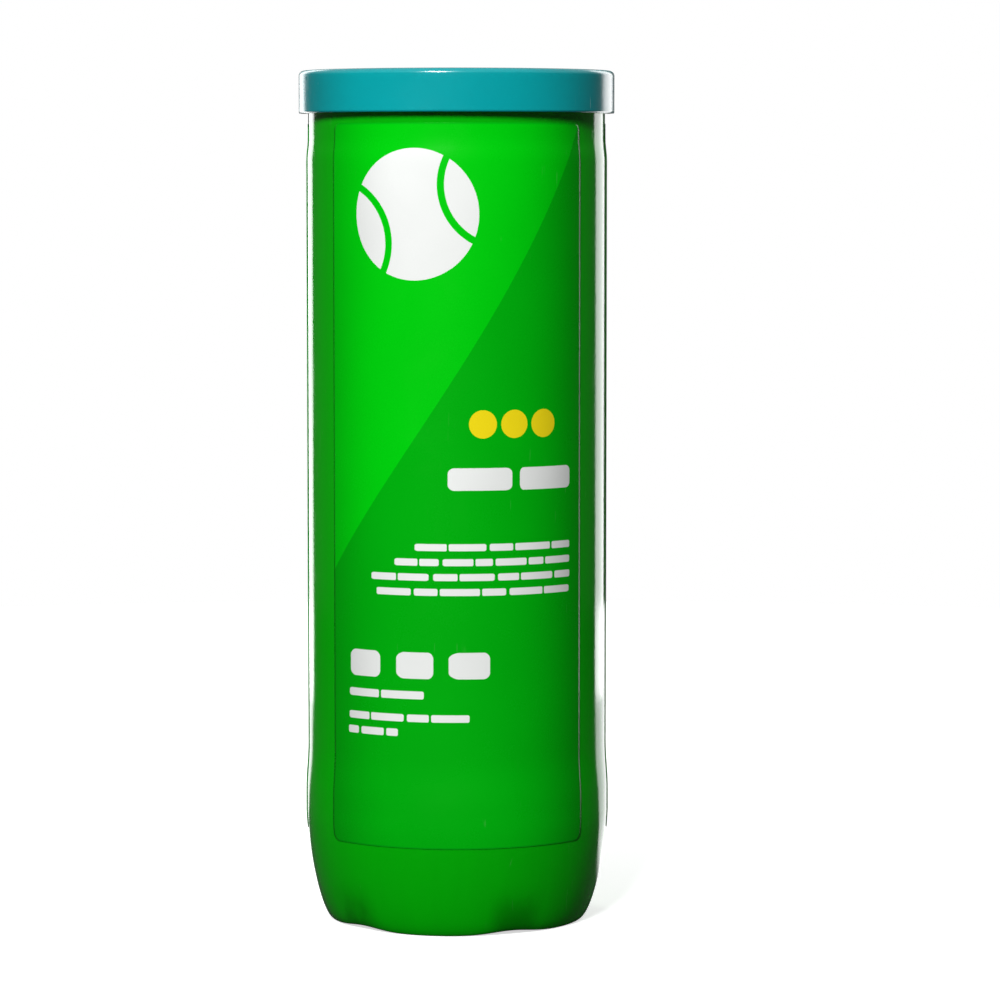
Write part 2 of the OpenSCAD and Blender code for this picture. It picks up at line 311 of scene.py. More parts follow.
def bead(outline, height, radius, sides):
    """A round bead along a level loop: P = c + radius (n cos b + up sin b), up being Z."""
    path = np.c_[outline, np.full(len(outline), height)]
    along = np.roll(path, -1, 0) - np.roll(path, 1, 0)
    along /= np.linalg.norm(along, axis=1)[:, None]
    side = np.stack([along[:, 1], -along[:, 0], np.zeros(len(path))], axis=-1)
    b = np.linspace(0, 2 * np.pi, sides, endpoint=False)
    up = np.array([0.0, 0.0, 1.0])
    points = path[:, None] + radius * (
        side[:, None] * np.cos(b)[None, :, None] + up * np.sin(b)[None, :, None]
    )
    return points.reshape(-1, 3), grid_faces(len(path), sides, True, True)


def plate(outline, holes, low, high):
    """A flat plate with holes: its outlines at two heights, filled, and joined by walls."""
    loops = [outline, *holes]
    flat = np.vstack(loops)
    n = len(flat)
    points = np.vstack([np.c_[flat, np.full(n, low)], np.c_[flat, np.full(n, high)]])
    fill = tessellate_polygon([[Vector((*p, 0.0)) for p in loop] for loop in loops])
    faces = []
    for tri in fill:
        a, b, c = (flat[k] for k in tri)
        anticlockwise = np.cross(b - a, c - a) > 0
        up = list(tri) if anticlockwise else list(tri)[::-1]
        faces += [[k + n for k in up], up[::-1]]
    start = 0
    for number, loop in enumerate(loops):
        k = np.arange(len(loop)) + start
        after = np.roll(k, -1)
        x, y = loop[:, 0], loop[:, 1]
        area = np.sum(x * np.roll(y, -1) - np.roll(x, -1) * y)
        wall = np.stack([k, after, after + n, k + n], axis=-1)
        if (area > 0) != (number == 0):
            wall = wall[:, ::-1]
        faces += wall.tolist()
        start += len(loop)
    return points, faces


def joined(*parts):
    """Several (points, faces) pairs as one."""
    points, faces, start = [], [], 0
    for p, f in parts:
        points.append(p)
        faces += [[k + start for k in face] for face in f]
        start += len(p)
    return np.vstack(points), faces


def pill(width, low, high, steps):
    """A stadium outline along Y between two tips: two half circles and their tangents."""
    r = width / 2
    a = np.linspace(0, np.pi, steps)
    top = np.c_[r * np.cos(a), high - r + r * np.sin(a)]
    bottom = np.c_[r * np.cos(a + np.pi), low + r + r * np.sin(a + np.pi)]
    return np.vstack([top, bottom])


def circle(y, radius, steps=48):
    """A circle round (0, y) as an outline."""
    a = np.linspace(0, 2 * np.pi, steps, endpoint=False)
    return np.c_[radius * np.cos(a), y + radius * np.sin(a)]


def soft_square(x, y, half, r, steps=6):
    """A rectangle from -x to x and from y - half to y + half with rounded corners."""
    a = np.linspace(0, np.pi / 2, steps)
    signs = ((1, 1), (-1, 1), (-1, -1), (1, -1))
    return np.vstack([
        np.c_[across * (x - r) + r * np.cos(a + k * np.pi / 2),
              y + along * (half - r) + r * np.sin(a + k * np.pi / 2)]
        for k, (across, along) in enumerate(signs)
    ])


# ---------------------------------------------------------------- shader wiring


def arithmetic(operation, swapped=False):
    """A method of Value that adds one Math node."""
    def method(value, *others):
        values = (*others, value) if swapped else (value, *others)
        return value.wiring.math(operation, *values)

    return method


class Value:
    """The output of a shader node, which can be reckoned with."""

    def __init__(self, wiring, socket):
        self.wiring, self.socket = wiring, socket

    __add__ = arithmetic("ADD")
    __sub__ = arithmetic("SUBTRACT")
    __rsub__ = arithmetic("SUBTRACT", swapped=True)
    __mul__ = arithmetic("MULTIPLY")
    __truediv__ = arithmetic("DIVIDE")
    __abs__ = arithmetic("ABSOLUTE")


class Wiring:
    """Short calls that add nodes to a tree and link them."""

    def __init__(self, tree):
        self.tree = tree

    def fill(self, node, values):
        """Links or sets inputs of a node, by name or number."""
        for key, value in values.items():
            if isinstance(value, Value):
                self.tree.links.new(value.socket, node.inputs[key])
            else:
                node.inputs[key].default_value = value

    def node(self, kind, values=None, **settings):
        """A new node with its settings and inputs."""
        node = self.tree.nodes.new(kind)
        for key, value in settings.items():
            setattr(node, key, value)
        self.fill(node, values or {})
        return node

    def out(self, node, key=0):
        return Value(self, node.outputs[key])

    def math(self, operation, *values, clamp=False):
        inputs = dict(enumerate(values))
        return self.out(self.node("ShaderNodeMath", inputs, operation=operation, use_clamp=clamp))

    def most(self, *values):
        """The largest of some values."""
        return reduce(lambda a, b: self.math("MAXIMUM", a, b), values)

    def hypot(self, a, b):
        """The root of a^2 + b^2."""
        return self.math("SQRT", a * a + b * b)

    def ramp(self, value, low, high, to_low=0.0, to_high=1.0):
        """A smooth step of the value from low to high."""
        inputs = dict(enumerate((value, low, high, to_low, to_high)))
        return self.out(self.node("ShaderNodeMapRange", inputs, interpolation_type="SMOOTHSTEP"))

    def mix(self, factor, a, b, blend="MIX"):
        """Two colours mixed; 6, 7 and 2 are the colour sockets of the node."""
        node = self.node("ShaderNodeMix", data_type="RGBA", blend_type=blend)
        self.fill(node, {0: factor, 6: a, 7: b})
        return self.out(node, 2)

    def noise(self, vector, scale, detail=4.0, roughness=0.55, distortion=0.0):
        return self.out(self.node("ShaderNodeTexNoise", {
            "Vector": vector, "Scale": scale, "Detail": detail, "Roughness": roughness,
            "Distortion": distortion,
        }))

    def drawn(self, vector, scale, detail=2.0, roughness=0.5, distortion=0.0, rotation=(0, 0, 0)):
        """Noise with a scale of its own along each axis, such as streaks."""
        mapping = self.node("ShaderNodeMapping", {
            "Vector": vector, "Rotation": rotation, "Scale": scale,
        })
        return self.noise(self.out(mapping), 1.0, detail, roughness, distortion)

    def place(self):
        return self.out(self.node("ShaderNodeTexCoord"), "Object")

    def facing(self, blend):
        """0 face on, towards 1 at a slant."""
        return self.out(self.node("ShaderNodeLayerWeight", {"Blend": blend}), "Facing")

    def ray(self, kind):
        """1 for rays of one kind: Camera or Glossy."""
        return self.out(self.node("ShaderNodeLightPath"), f"Is {kind} Ray")

    def split(self, vector):
        node = self.node("ShaderNodeSeparateXYZ", {0: vector})
        return [self.out(node, k) for k in range(3)]

    def group(self, tree, **values):
        """The outputs of a node group by name."""
        node = self.node("ShaderNodeGroup", values, node_tree=tree)
        return {socket.name: Value(self, socket) for socket in node.outputs}

    def handled(self, **values):
        """The shared handled surface at the object's own coordinates."""
        tree = shared("handled surface", handling_group)
        return self.group(tree, Vector=self.place(), **values)

    def bump(self, height, strength, distance):
        return self.out(self.node("ShaderNodeBump", {
            "Height": height, "Strength": strength, "Distance": distance,
        }))


def shared(name, build):
    """The node group of that name, which is built on first use."""
    return bpy.data.node_groups.get(name) or build(name)


def new_group(name, inputs, outputs):
    """A node group of floats, in which an input of None is a vector.

    Returns the tree, its wiring, its inputs by name and its output node.
    """
    tree = bpy.data.node_groups.new(name, "ShaderNodeTree")
    for label, default in inputs.items():
        kind = "NodeSocketVector" if default is None else "NodeSocketFloat"
        socket = tree.interface.new_socket(label, in_out="INPUT", socket_type=kind)
        if default is not None:
            socket.default_value = default
    for label in outputs:
        tree.interface.new_socket(label, in_out="OUTPUT", socket_type="NodeSocketFloat")
    w = Wiring(tree)
    source, sink = w.node("NodeGroupInput"), w.node("NodeGroupOutput")
    return tree, w, {label: w.out(source, label) for label in inputs}, sink


def new_material(name):
    """A material with only a Principled BSDF and its output, and its wiring."""
    material = bpy.data.materials.new(name)
    material.use_nodes = True
    material.node_tree.nodes.clear()
    w = Wiring(material.node_tree)
    shader = w.node("ShaderNodeBsdfPrincipled")
    w.node("ShaderNodeOutputMaterial", {"Surface": w.out(shader)})
    return material, w, shader


def rgba(rgb, share=1.0):
    """A colour, or a share of it, with an alpha of 1."""
    return (*[min(1.0, c * share) for c in rgb], 1.0)


# ---------------------------------------------------------------- shared surfaces and print


def handling_group(name):
    """Gloss and height of a surface that was handled: fine grain, smudges and hairline scuffs."""
    tree, w, given, sink = new_group(
        name,
        {"Vector": None, "Grain": 4000.0, "Gloss": 0.3, "Smudge": 0.1, "Scuff": 0.1},
        ["Roughness", "Height", "Scuff Mask", "Tone"],
    )
    v = given["Vector"]
    grain = w.noise(v, given["Grain"], 3.0, 0.6)
    smudge = w.ramp(w.noise(v, 45.0, 3.0, 0.55, 0.6), 0.42, 0.72)
    lines = w.drawn(v, (2600, 90, 140), rotation=(0.5, 0.9, 0.3))
    across = w.drawn(v, (120, 2300, 100), rotation=(1.3, 0.2, 1.1))
    patches = w.ramp(w.noise(v, 30.0, 2.0), 0.52, 0.66)
    scuff = w.most(w.ramp(lines, 0.70, 0.76), w.ramp(across, 0.72, 0.78)) * patches * given["Scuff"]
    rough = given["Gloss"] + smudge * given["Smudge"] + scuff * 0.4
    w.fill(sink, {
        "Roughness": w.math("ADD", rough, (grain - 0.5) * 0.08, clamp=True),
        "Height": grain - scuff * 1.5,
        "Scuff Mask": scuff,
        "Tone": w.noise(v, 18.0, 3.0, 0.5),
    })
    return tree


def bar_group(name):
    """A filled bar with rounded corners, broken into words of slowly changing length.

    Gaps lie where along = s + swing sin(rate s + height) is a whole number of words.
    """
    tree, w, given, sink = new_group(
        name,
        {"S": 0.0, "Z": 0.0, "Left": 0.0, "Right": 1.0, "Height": 0.0, "Weight": 1.0,
         "Word": 500.0, "Start": 0.0},
        ["Mask"],
    )
    s, height, word = given["S"], given["Height"], given["Word"]
    half = given["Weight"] * 0.5
    corner = half * 0.5
    ends = w.most(given["Left"] + corner - s, s - (given["Right"] - corner))
    along = s + w.math("SINE", s * WORD_RATE + height) * WORD_SWING
    count = (along - given["Start"]) / word
    near = abs(count - w.math("ROUND", count)) * word
    ds = w.most(ends, half * WORD_GAP + corner - near, 0.0)
    dz = w.most(abs(given["Z"] - height) - (half - corner), 0.0)
    w.fill(sink, {"Mask": w.ramp(w.hypot(ds, dz) - corner, INK_EDGE, -INK_EDGE)})
    return tree


def print_bar(w, s, z, left, right, height, weight, words):
    """One bar whose first and last words end exactly at its two ends."""
    def along(at):
        return at + WORD_SWING * math.sin(WORD_RATE * at + height)

    gap = WORD_GAP * weight / 2
    start, end = along(left - gap), along(right + gap)
    bar = w.group(shared("print bar", bar_group), S=s, Z=z, Left=left, Right=right,
                  Height=height, Weight=weight, Word=(end - start) / words, Start=start)
    return bar["Mask"]


def disc_group(name):
    """Distance in millimetres from the edge of a disc, negative inside, and the disc's mask."""
    tree, w, given, sink = new_group(
        name, {"S": 0.0, "Z": 0.0, "Across": 0.0, "Up": 0.0, "Radius": 1.0}, ["Away", "Mask"])
    away = w.hypot(given["S"] - given["Across"], given["Z"] - given["Up"]) - given["Radius"]
    w.fill(sink, {"Away": away, "Mask": w.ramp(away, INK_EDGE, -INK_EDGE)})
    return tree


def print_disc(w, s, z, across, up, radius):
    """The outputs Away and Mask of one disc."""
    tree = shared("print disc", disc_group)
    return w.group(tree, S=s, Z=z, Across=across, Up=up, Radius=radius)


def film_place(w):
    """Arc length and height on the label film in millimetres, from its own UV map."""
    u, v, _ = w.split(w.out(w.node("ShaderNodeUVMap", uv_map="film")))
    return (u - 0.5) * FILM_WIDTH, v * FILM_HEIGHT


# ---------------------------------------------------------------- materials


def body_material(colours):
    """Green blown plastic: see-through face on, denser at a slant, glossy with faint streaks, and
    painted shade in the valleys.
    """
    material, w, shader = new_material("green blown plastic")
    body = colours.body
    v = w.place()
    x, y, up = w.split(v)
    surface = w.handled(Grain=1500.0, Gloss=0.07, Smudge=0.06, Scuff=0.3)
    tint = w.mix(w.drawn(v, (260, 260, 9), 3.0) * 0.35, rgba(body), rgba(body, 0.72))
    thick = w.ramp(up, 0.022, 0.002)
    tint = w.mix(thick * 0.2, tint, rgba(body, 0.55))
    # painted shade in the valleys between the feet, broken up by noise
    turn = (w.math("ARCTAN2", y, x) - float(VALLEYS[0])) * len(VALLEYS)
    between = w.ramp(w.math("COSINE", turn), 0.35, 1.0) * w.ramp(up, 0.014, 0.003)
    valley_shade_blotch = w.ramp(w.drawn(v, (90, 90, 60), 3.0, 0.6), 0.35, 0.6, 0.4, 1.0)
    tint = w.mix(between * valley_shade_blotch * 0.7, tint, rgba(body, 0.35))
    tint = w.mix(surface["Scuff Mask"] * 0.25, tint, (0.55, 0.75, 0.55, 1))
    clear = w.facing(0.35) * 0.14 + 0.86
    wavy = w.drawn(v, (40, 40, 14))
    w.fill(shader, {
        "Base Color": tint,
        "Roughness": surface["Roughness"],
        "Alpha": w.math("ADD", clear, thick * 0.08, clamp=True),
        "Normal": w.bump(surface["Height"] * 0.15 + wavy, 0.12, 0.0006),
        "IOR": 1.57,
        "Specular IOR Level": 0.22,
    })
    return material


def film_finish(w, shader, ink, s, z, edge):
    """Shared finish of both labels: a darker edge as painted shadow, painted shade at a slant, ink
    gloss, faint creases and grain.
    """
    surface = w.handled(Grain=2600.0, Gloss=0.26, Smudge=0.08, Scuff=0.15)
    ends = w.math("MINIMUM", z - LABEL_BASE, LABEL_TOP - z)
    # painted shadow along the film's edge: the print turns darker green within about half a
    # millimetre of it
    rim = w.ramp(w.math("MINIMUM", edge - abs(s), ends), 0.55, 0.15)
    tone = w.ramp(surface["Tone"], 0.3, 0.7, 0.95, 1.04)
    shade = w.out(w.node("ShaderNodeCombineColor", {0: tone, 1: tone, 2: tone}))
    base = w.mix(1.0, ink, shade, "MULTIPLY")
    base = w.mix(rim * 0.25, base, (0.0, 0.12, 0.01, 1))
    base = w.mix(surface["Scuff Mask"] * 0.3, base, (0.6, 0.8, 0.6, 1))
    # painted shade: the print darkens towards black at a slant, so the film's sides look shaded
    slant = w.ramp(w.facing(0.5), 0.08, 0.5, 0.0, 0.32)
    base = w.mix(slant, base, w.mix(0.8, base, (0.0, 0.0, 0.0, 1)))
    crease = w.drawn(w.place(), (55, 55, 22))
    w.fill(shader, {
        "Base Color": base,
        "Roughness": surface["Roughness"],
        "Normal": w.bump(surface["Height"] * 0.12 + crease, 0.10, 0.0005),
        "IOR": 1.45,
        "Specular IOR Level": 0.12,
    })


def front_film_material(colours, edge):
    """Two greens that meet on a rising curve, a plain ball sign, dots and plain bars."""
    material, w, shader = new_material("front label film")
    s, z = film_place(w)
    rise = (s * 0.0046 + 1.56) * s + 137.2
    upper = w.ramp(z - rise, -0.15, 0.15)
    ground = w.mix(upper, rgba(colours.label_dark), rgba(colours.label_light))
    # ball sign: a disc with two curved seams left in the ground colour
    across, up = -10.4, 175.2
    seams = [print_disc(w, s, z, across + way * 21.6, up + way * 7.1, 15.1) for way in (-1, 1)]
    seam = w.most(*[w.ramp(abs(line["Away"]), 0.95, 0.8) for line in seams])
    sign = print_disc(w, s, z, across, up, 15.8)["Mask"] * (1.0 - seam)
    white = w.most(*[print_bar(w, s, z, *row) for row in FRONT_BARS], sign)
    yellow = w.most(*[print_disc(w, s, z, 6.3 + 7.9 * k, 125.0, 3.4)["Mask"] for k in range(3)])
    ink = w.mix(white, ground, rgba(colours.print_white))
    film_finish(w, shader, w.mix(yellow, ink, rgba(colours.print_yellow)), s, z, edge)
    return material


def rear_film_material(colours, edge):
    """Dark green, a shade darker below a falling line, and plain bars."""
    material, w, shader = new_material("rear label film")
    s, z = film_place(w)
    upper = w.ramp(z - (s * -0.9 + 120.0), -0.15, 0.15)
    ground = w.mix(upper, rgba(colours.label_dark, 0.8), rgba(colours.label_dark))
    white = w.most(*[print_bar(w, s, z, *row) for row in REAR_BARS])
    film_finish(w, shader, w.mix(white, ground, rgba(colours.print_white)), s, z, edge)
    return material


def lid_material(colours):
    """Soft moulded polyethylene: waxy, with fine spark grain, a flow pattern from the gate and
    painted shade at a slant.
    """
    material, w, shader = new_material("teal lid plastic")
    lid = colours.lid
    v = w.place()
    surface = w.handled(Grain=3200.0, Gloss=0.17, Smudge=0.08, Scuff=0.5)
    x, y, _ = w.split(v)
    flow = w.drawn(v, (60, 60, 60), distortion=1.2)
    rings = w.math("SINE", (w.hypot(x, y) + flow * 0.004) * 900.0)
    tint = w.mix(w.ramp(surface["Tone"], 0.25, 0.75), rgba(lid, 0.93), rgba(lid, 1.05))
    tint = w.mix(surface["Scuff Mask"] * 0.35, tint, (0.35, 0.68, 0.68, 1))
    # painted shade: the teal darkens at a slant, so the lid's sides look shaded
    tint = w.mix(w.ramp(w.facing(0.5), 0.15, 0.75, 0.0, 0.28), tint, rgba(lid, 0.2))
    w.fill(shader, {
        "Base Color": tint,
        "Roughness": surface["Roughness"],
        "Normal": w.bump(surface["Height"] + rings * 0.25, 0.18, 0.00006),
        "IOR": 1.5,
        "Subsurface Weight": 0.12,
        "Subsurface Radius": (0.001, 0.003, 0.003),
        "Subsurface Scale": 0.6,
    })
    return material


def metal_material(name, rgb, turned_marks):
    """Lacquered sheet: rolling lines or turned marks, mottling and small scratches."""
    material, w, shader = new_material(name)
    v = w.place()
    surface = w.handled(Grain=3800.0, Gloss=0.22, Smudge=0.14, Scuff=1.0)
    scale = (5200, 160, 160)
    if turned_marks:
        x, y, z = w.split(v)
        v = w.out(w.node("ShaderNodeCombineXYZ", {0: w.hypot(x, y), 1: z}))
        scale = (5200, 900, 1)
    lines = w.drawn(v, scale, 3.0, 0.6)
    tint = w.mix(w.ramp(surface["Tone"], 0.2, 0.8), rgba(rgb), rgba(rgb, 0.9))
    w.fill(shader, {
        "Base Color": w.mix(w.ramp(lines, 0.35, 0.7, 0.0, 0.25), tint, rgba(rgb, 0.75)),
        "Roughness": surface["Roughness"],
        "Normal": w.bump(surface["Height"] * 0.3 + lines, 0.12, 0.00004),
        "Metallic": 1.0,
    })
    return material


def rubber_material(name, rgb, gloss):
    """Vulcanised rubber: matt, faintly mottled, with mould grain."""
    material, w, shader = new_material(name)
    surface = w.handled(Grain=1600.0, Gloss=gloss, Smudge=0.1, Scuff=0.2)
    grime = w.ramp(w.noise(w.place(), 160.0, 4.0, 0.65), 0.48, 0.75)
    w.fill(shader, {
        "Base Color": w.mix(grime * 0.25, rgba(rgb), rgba(rgb, 0.62)),
        "Roughness": surface["Roughness"],
        "Normal": w.bump(surface["Height"], 0.25, 0.00008),
    })
    return material


def wool_group(name):
    """Felted wool: tufts and matted fibres as a mask of painted shade between the tufts, and a
    height.
    """
    tree, w, given, sink = new_group(name, {"Vector": None}, ["Crevice Shade", "Height"])
    v = given["Vector"]
    warp = w.noise(v, 700.0, 3.0, 0.6, 1.5)
    fibres = w.drawn(v, (3200, 700, 900), 3.0, 0.6, 2.5, (0.7, 0.3, 0.2))
    cross = w.drawn(v, (800, 2900, 700), 3.0, 0.6, 2.5, (0.1, 1.2, 0.9))
    mat = w.most(fibres, cross)
    tufts = w.noise(v, 260.0, 3.0, 0.55, 0.8)
    w.fill(sink, {
        # painted shade: the wool is darker where the fibres lie low between the tufts
        "Crevice Shade": w.ramp(mat, 0.62, 0.42) * w.ramp(tufts, 0.35, 0.65, 1.0, 0.35),
        "Height": mat * 0.7 + warp * 0.3 + tufts * 0.5,
    })
    return tree


def felt_material(name, colours, dots=()):
    """Optic yellow felt with painted shade between the tufts; a dot is printed within its radius of
    each of these places.
    """
    material, w, shader = new_material(name)
    v = w.place()
    wool = w.group(shared("felted wool", wool_group), Vector=v)
    # painted shade between the tufts darkens the felt
    tint = w.mix(wool["Crevice Shade"], rgba(colours.felt), rgba(colours.felt_crevice_shade))
    for centre, radius in dots:
        away = w.node("ShaderNodeVectorMath", {0: v, 1: centre * MM}, operation="DISTANCE")
        ragged = (w.noise(v, 1400.0, 3.0, 0.6) - 0.5) * 0.0012
        mask = w.ramp(w.out(away, "Value") + ragged, radius + 0.0003, radius - 0.0003)
        # the dot takes the same painted shade between the tufts
        ink = w.mix(wool["Crevice Shade"], rgba(colours.dot), rgba(colours.dot, 0.5))
        tint = w.mix(mask * 0.93, tint, ink)
    w.fill(shader, {
        "Base Color": tint,
        "Normal": w.bump(wool["Height"], 0.9, 0.0006),
        "Roughness": 0.95,
        "Sheen Weight": 0.35,
        "Sheen Roughness": 0.5,
        "Specular IOR Level": 0.1,
    })
    return material


def paper_material(name, rgb, glow):
    """Pale paper that glows where it is looked at, more so far away, and as a strip in mirrors."""
    material, w, shader = new_material(name)
    v = w.place()
    x, y, _ = w.split(v)
    seen, glossy = w.ray("Camera"), w.ray("Glossy")
    paper = w.mix(w.ramp(w.noise(v, 3.0, 3.0), 0.3, 0.7), rgba(rgb), rgba(rgb, 0.985))
    dim = w.mix(glossy, rgba(rgb, 0.16), rgba(rgb, 0.05))
    looked = w.ramp(w.hypot(x, y), 0.12, 0.40, glow, 1.0) * seen
    slant = (x - 0.02) / w.most(y, 0.01)
    strip = w.ramp(slant, -0.80, -0.70) * w.ramp(slant, 1.12, 1.02) * w.ramp(y, 0.03, 0.07) * 2.3
    w.fill(shader, {
        "Base Color": w.mix(seen, dim, paper),
        "Emission Strength": looked + strip * glossy,
        "Emission Color": (1, 1, 1, 1),
        "Roughness": 0.9,
        "Specular IOR Level": 0.1,
    })
    return material


# ---------------------------------------------------------------- shapes


def dress(piece, material, body, slot, *nodes):
    """Gives a piece its material and body, and hides the CAD nodes it stands for; its slot is not
    used.
    """
    piece.data.materials.clear()
    piece.data.materials.append(material)
    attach(piece, body)
    if nodes:
        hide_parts(*nodes)


def repaint(node, material):
    """A CAD node keeps its shape and gets a material."""
    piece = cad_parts[node]
    if piece.material_slots:
        for item in piece.material_slots:
            item.material = material
    else:
        piece.data.materials.append(material)


def smooth_step(x):
    """0 below 0, 1 above 1, and 3 x^2 - 2 x^3 between."""
    x = np.clip(x, 0, 1)
    return x * x * (3 - 2 * x)


def wall_radius(z, s):
    """Outer radius: heel ring + (band - ring)(1 - (1 - z / h)^1.4)^0.6, then band, wall, neck."""
    body, band, neck = s.body_radius / MM, s.band_radius / MM, s.neck_radius / MM
    heel, ring = s.heel_height / MM, s.ring_outer / MM
    z = np.asarray(z, float)
    low = ring + (band - ring) * (1 - (1 - np.clip(z / heel, 0, 1)) ** 1.4) ** 0.6
    high = band + (body - band) * smooth_step((z - BAND_TOP) / BAND_RUN)
    high = high + (neck - body) * smooth_step((z - SHOULDER) / SHOULDER_RUN)
    return np.where(z < heel, low, high)


def valley_lift(s):
    """z raised by depth exp(-(t / width)^2), t across the valley, fading up the heel and inward."""
    depth = s.valley_depth / MM
    width, inside, run, top = 7.5, 14, 10, 16

    def lift(r, angle, z):
        rise = 0.0
        for middle in VALLEYS:
            across, ahead = r * np.sin(angle - middle), r * np.cos(angle - middle)
            rise = rise + np.exp(-((across / width) ** 2)) * smooth_step((ahead - inside) / run)
        return z + depth * rise * (1 - smooth_step(z / top))

    return lift


def body_profile(s):
    """Outer profile of the plastic body from the axis outward and up into the seam."""
    dome, ring_in = s.dome_height / MM, s.ring_inner / MM
    heel, ring_out = s.heel_height / MM, s.ring_outer / MM
    t, neck = s.wall / MM, s.neck_radius / MM
    # base: the gate mark, and the dome z = height (1 - u^3), u from its flat middle to the ring
    gate_radius, gate_depth, flat = 3.0, 0.5, 4
    r = np.concatenate([[0.0, 1.2, 2.2, 2.7, 3.0, 3.6], np.linspace(4.5, ring_in - 0.6, 22)])
    round_off = np.sqrt(np.clip(1 - (r / gate_radius) ** 4, 0, 1))
    gate = np.where(r < gate_radius, gate_depth * round_off, 0.0)
    base = np.c_[r, dome * (1 - np.clip((r - flat) / (ring_in - flat), 0, 1) ** 3) - gate]
    foot = np.c_[np.linspace(ring_in, ring_out, 6), np.zeros(6)]
    up = heel * np.linspace(0, 1, 40)[1:] ** 2
    side = np.c_[wall_radius(up - 1e-6, s), up]
    heights = np.concatenate([
        np.arange(29, 46, 1.5), np.linspace(48, SHOULDER - 1, 40),
        np.linspace(SHOULDER, SHOULDER + SHOULDER_RUN, 12), SEAM_TOP - np.array([12, 8, 4]),
    ])
    wall = np.c_[wall_radius(heights, s), heights]
    hook, low = neck + 0.34, SEAM_FOOT + 0.58
    flange = rounded(
        [[neck, SEAM_TOP - 3], [neck, FLANGE - t], [hook, FLANGE - t], [hook, low]],
        [0, 0.1, 0.1, 0], 3,
    )
    return np.vstack([base, foot, side, wall, flange])


def make_body(s, material):
    """The blown body as one closed shell: outer and inner profile turned about the axis."""
    outer = body_profile(s)
    t = s.wall / MM
    inner = outer + normals_left(outer) * t
    gate_rows = 6  # the inside is flat over the gate mark
    inner[:gate_rows, 1] = outer[gate_rows, 1] + t
    inner[:, 0] = np.clip(inner[:, 0], 0, None)
    inner[0, 0] = 0.0
    path = np.vstack([outer, inner[::-1]])
    points, faces = turned(path, 300, valley_lift(s), closed=False)
    dress(make_object("plastic_body", points, faces), material, "can", "green_pet", "can_body")


def make_label(name, s, half, middle, material, slot, node):
    """Film on the wall: P(a, z) at the wall's radius plus glue, with rounded corners."""
    low, high = LABEL_BASE, LABEL_TOP
    bend = LABEL_CORNER * (1 - np.cos(np.linspace(0, np.pi / 2, 9)))
    rows = np.concatenate([low + bend, np.linspace(low + 3, high - 3, 110), high - bend[::-1]])
    r = wall_radius(rows, s)
    left = LABEL_CORNER - np.clip(np.minimum(rows - low, high - rows), None, LABEL_CORNER)
    cut = LABEL_CORNER - np.sqrt(np.clip(LABEL_CORNER**2 - left**2, 0, None))
    reach = math.radians(half) - cut / r
    turn = reach[:, None] * np.linspace(-1, 1, 121)
    angle = math.radians(middle) + turn
    height = np.broadcast_to(rows[:, None], angle.shape)
    shells = []
    for offset in (GLUE + s.label_thickness / MM, GLUE):
        out = (r + offset)[:, None]
        shells.append(np.stack([out * np.cos(angle), out * np.sin(angle), height], axis=-1))
    n, m = angle.shape
    size = n * m
    points = np.vstack([shell.reshape(-1, 3) for shell in shells])
    faces = grid_faces(n, m) + grid_faces(n, m, start=size, flip=True)
    i = np.arange(n - 1)
    j = np.arange(m - 1)

    def strip(a, b):
        return np.stack([b, a, a + size, b + size], axis=-1).tolist()

    faces += strip(j, j + 1) + strip((n - 1) * m + j + 1, (n - 1) * m + j)
    faces += strip((i + 1) * m, i * m) + strip(i * m + m - 1, (i + 1) * m + m - 1)
    uv = np.stack([turn * LABEL_RADIUS / FILM_WIDTH + 0.5, height / FILM_HEIGHT], -1)
    piece = make_object(name, points, faces, np.vstack([uv.reshape(-1, 2)] * 2))
    dress(piece, material, "can", slot, node)


def make_end_ring(s, material):
    """Lip, countersink, chuck wall, double seam and cover hook as one rounded sheet, turned."""
    t, wall, neck = s.sheet / MM, s.wall / MM, s.neck_radius / MM
    top, low = SEAM_TOP - t, SEAM_FOOT + t
    sink = RING_LOW[2]
    panel = sink + 1.4
    seam = RING_HIGH[0] - t
    chuck, cover = neck - wall - 0.02, neck + 0.03 + t
    corners = [
        [33.65, panel], [34.15, panel], [34.2, sink], [chuck - 0.05, sink], [chuck, sink + 1.5],
        [chuck, top], [seam, top], [seam, low], [cover, low], [cover, FLANGE - wall - 0.25],
    ]
    path = densify(rounded(corners, [0, 0.3, 0.45, 0.5, 0.6, 0.42, 0.42, 0.22, 0.2, 0], 7), 0.8)
    points, faces = turned(sheet_loop(path, t), 220)
    dress(make_object("metal_ring", points, faces), material, "can", "end_metal", "end_ring")


def panel_height(x, y):
    """Height over the panel's plane: stiffening bead, score groove, finger dish, step and coin."""
    r = np.hypot(x, y)
    stiff = 0.3 * smooth_step(1.6 - np.abs(r - 31.4))
    score = -0.07 * np.exp(-(((r - 33.15) / 0.12) ** 2))
    dish = -0.85 * smooth_step(1.25 - np.hypot(x, y + 14.1) / 6.2) ** 1.5
    step = 0.12 * smooth_step(1.5 - np.abs(r - 25.0) * 1.2) * smooth_step((y + 2.0) / 6.0)
    coin = 0.1 * smooth_step(4.2 - np.hypot(x, y + RIVET_Y))
    return stiff + score + dish + step + coin


